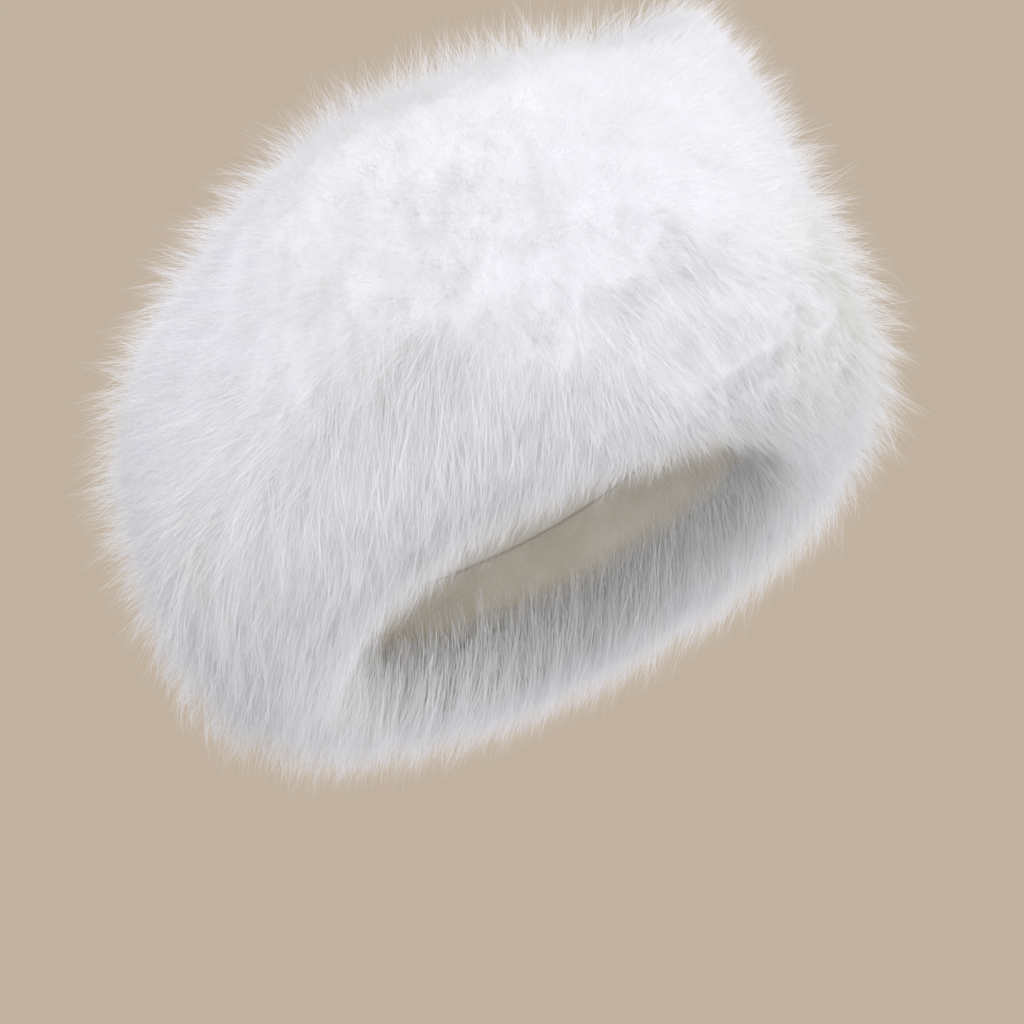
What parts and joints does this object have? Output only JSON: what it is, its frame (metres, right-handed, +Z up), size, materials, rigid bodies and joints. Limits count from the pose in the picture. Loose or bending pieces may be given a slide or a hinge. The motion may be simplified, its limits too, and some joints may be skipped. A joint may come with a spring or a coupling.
{
  "type": "round faux-fur winter hat",
  "caption": "Round white long-pile faux-fur winter hat with a closed fur crown, a deep fur side band and a padded, lined inner cap.",
  "frame": {"origin": "centre of the head opening, at the level of the fur's lowest edge, on which the hat stands", "axes": "+Z up through the crown, -Y towards the wearer's face, +X to the wearer's left"},
  "size_m": [0.2728, 0.3048, 0.1879],
  "materials": {
    "fur": "long white faux-fur pile on a knitted backing",
    "interlining": "stiff non-woven",
    "wadding": "soft polyester wadding",
    "satin": "ivory satin, quilted",
    "grosgrain": "ribbed woven band",
    "tape": "plain woven tape"
  },
  "bodies": {
    "root": {"fur_side_front": "fur", "fur_side_back": "fur", "fur_crown": "fur", "interlining_side_front": "interlining", "interlining_side_back": "interlining", "interlining_crown": "interlining", "wadding_side_front": "wadding", "wadding_side_back": "wadding", "wadding_crown": "wadding", "lining_side_front": "satin", "lining_side_back": "satin", "lining_crown": "satin", "sweatband": "grosgrain", "hem_tape": "tape"}
  },
  "joints": []
}
